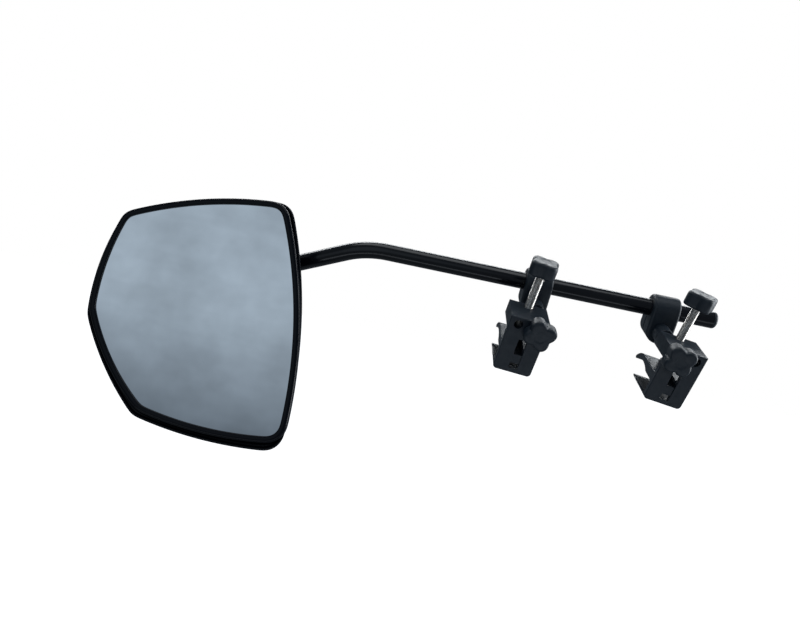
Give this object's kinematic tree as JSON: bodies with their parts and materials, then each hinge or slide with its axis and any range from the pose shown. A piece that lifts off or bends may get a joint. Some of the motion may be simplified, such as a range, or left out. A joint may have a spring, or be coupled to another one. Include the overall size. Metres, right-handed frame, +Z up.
{
  "type": "towing mirror",
  "caption": "Clip-on towing mirror: an irregular six-sided mirror head on a ball joint, a bent tube arm, and screw clamps with lobed knobs that slide and tilt on it.",
  "frame": {"origin": "on the arm tube's axis, midway between the two collars", "axes": "+X along the straight arm towards its free end, +Y away from the side the glass faces, +Z up"},
  "size_m": [0.5864, 0.1477, 0.2313],
  "materials": {
    "black_tube": "gloss black powder coat",
    "steel": "plain steel",
    "zinc": "bright zinc plate",
    "bright_screw": "polished plate",
    "nylon": "black nylon",
    "head_plastic": "gloss black moulding",
    "body_plastic": "fine texture black moulding",
    "knob_plastic": "satin black moulding",
    "rubber": "ribbed rubber",
    "glass": "convex mirror glass, cool tint",
    "foam": "closed cell foam tape",
    "brass": "plain brass"
  },
  "bodies": {
    "arm": {"arm_tube": "black_tube", "ball_stud": "steel", "stud_pin": "steel", "end_cap": "body_plastic"},
    "roll_seat": {"seat_cup": "nylon"},
    "pan_seat": {"seat_ring": "nylon"},
    "head": {"mirror_glass": "glass", "glass_foam": "foam", "glass_backing": "body_plastic", "bezel": "head_plastic", "head_shell": "head_plastic", "socket_base": "body_plastic", "socket_cap": "body_plastic", "socket_screws": "zinc", "spreader_plate": "zinc", "base_screws": "zinc"},
    "inner_slider": {"inner_liner": "nylon"},
    "inner_collar_body": {"inner_collar": "body_plastic", "inner_ear_insert": "brass"},
    "inner_washer": {"inner_swivel_washer": "zinc"},
    "inner_swivel_grip": {"inner_swivel_bolt": "zinc", "inner_swivel_knob": "knob_plastic"},
    "inner_clamp": {"inner_clamp_body": "body_plastic", "inner_screw_nut": "brass", "inner_lower_pad": "rubber"},
    "inner_jaw": {"inner_moving_jaw": "body_plastic", "inner_upper_pad": "rubber", "inner_jaw_pin": "steel"},
    "inner_screw": {"inner_clamp_screw": "bright_screw", "inner_screw_knob": "knob_plastic"},
    "outer_slider": {"outer_liner": "nylon"},
    "outer_collar_body": {"outer_collar": "body_plastic", "outer_ear_insert": "brass"},
    "outer_washer": {"outer_swivel_washer": "zinc"},
    "outer_swivel_grip": {"outer_swivel_bolt": "zinc", "outer_swivel_knob": "knob_plastic"},
    "outer_clamp": {"outer_clamp_body": "body_plastic", "outer_screw_nut": "brass", "outer_lower_pad": "rubber"},
    "outer_jaw": {"outer_moving_jaw": "body_plastic", "outer_upper_pad": "rubber", "outer_jaw_pin": "steel"},
    "outer_screw": {"outer_clamp_screw": "bright_screw", "outer_screw_knob": "knob_plastic"}
  },
  "joints": [
    {"name": "head_roll", "type": "hinge", "parent": "arm", "child": "roll_seat", "pos_m": [-0.3824, 0.0509, -0.0637], "axis": [0.8833, -0.2927, 0.3663], "range_deg": [-25, 25]},
    {"name": "head_pan", "type": "hinge", "parent": "roll_seat", "child": "pan_seat", "pos_m": [-0.3824, 0.0509, -0.0637], "axis": [-0.2025, 0.1392, 0.9693], "range_deg": [-14, 2]},
    {"name": "head_tilt", "type": "hinge", "parent": "pan_seat", "child": "head", "pos_m": [-0.3824, 0.0509, -0.0637], "axis": [0.9789, 0, 0.2045], "range_deg": [-10, 10]},
    {"name": "inner_slide", "type": "slide", "parent": "arm", "child": "inner_slider", "axis": [1, 0, 0], "range_m": [-0.06, 0.01]},
    {"name": "inner_tilt", "type": "hinge", "parent": "inner_slider", "child": "inner_collar_body", "pos_m": [-0.0613, 0, 0], "axis": [1, 0, 0], "range_deg": [-60, 30]},
    {"name": "inner_swivel", "type": "hinge", "parent": "inner_collar_body", "child": "inner_clamp", "pos_m": [-0.0613, -0.01938, -0.02913], "axis": [0, 0.9033, 0.4289], "range_deg": [-40, 40]},
    {"name": "inner_loosen", "type": "slide", "parent": "inner_collar_body", "child": "inner_washer", "axis": [0, -0.9033, -0.4289], "range_m": [0, 0.001]},
    {"name": "inner_swivel_spin", "type": "hinge", "parent": "inner_washer", "child": "inner_swivel_grip", "pos_m": [-0.0613, -0.01938, -0.02913], "axis": [0, -0.9033, -0.4289], "range_deg": [-1, 290]},
    {"name": "inner_jaw_slide", "type": "slide", "parent": "inner_clamp", "child": "inner_jaw", "axis": [0.0802, -0.4276, 0.9004], "range_m": [-0.004, 0.01]},
    {"name": "inner_screw_spin", "type": "hinge", "parent": "inner_jaw", "child": "inner_screw", "pos_m": [-0.07007, -0.0283, -0.02503], "axis": [0.0802, -0.4276, 0.9004], "range_deg": [-1154, 2882]},
    {"name": "outer_slide", "type": "slide", "parent": "arm", "child": "outer_slider", "axis": [1, 0, 0], "range_m": [-0.01, 0.02]},
    {"name": "outer_tilt", "type": "hinge", "parent": "outer_slider", "child": "outer_collar_body", "pos_m": [0.0613, 0, 0], "axis": [1, 0, 0], "range_deg": [-60, 30]},
    {"name": "outer_swivel", "type": "hinge", "parent": "outer_collar_body", "child": "outer_clamp", "pos_m": [0.0613, -0.02083, -0.02811], "axis": [0, 0.9239, 0.3827], "range_deg": [-40, 40]},
    {"name": "outer_loosen", "type": "slide", "parent": "outer_collar_body", "child": "outer_washer", "axis": [0, -0.9239, -0.3827], "range_m": [0, 0.001]},
    {"name": "outer_swivel_spin", "type": "hinge", "parent": "outer_washer", "child": "outer_swivel_grip", "pos_m": [0.0613, -0.02083, -0.02811], "axis": [0, -0.9239, -0.3827], "range_deg": [-1, 290]},
    {"name": "outer_jaw_slide", "type": "slide", "parent": "outer_clamp", "child": "outer_jaw", "axis": [0.134, -0.3792, 0.9155], "range_m": [-0.004, 0.01]},
    {"name": "outer_screw_spin", "type": "hinge", "parent": "outer_jaw", "child": "outer_screw", "pos_m": [0.07148, -0.02875, -0.02545], "axis": [0.134, -0.3792, 0.9155], "range_deg": [-1154, 2882]}
  ],
  "couplings": [
    {"joint": "inner_swivel_spin", "follows": "inner_loosen", "rad_per_m": 5026.5},
    {"joint": "inner_screw_spin", "follows": "inner_jaw_slide", "rad_per_m": 5026.5},
    {"joint": "outer_swivel_spin", "follows": "outer_loosen", "rad_per_m": 5026.5},
    {"joint": "outer_screw_spin", "follows": "outer_jaw_slide", "rad_per_m": 5026.5}
  ]
}
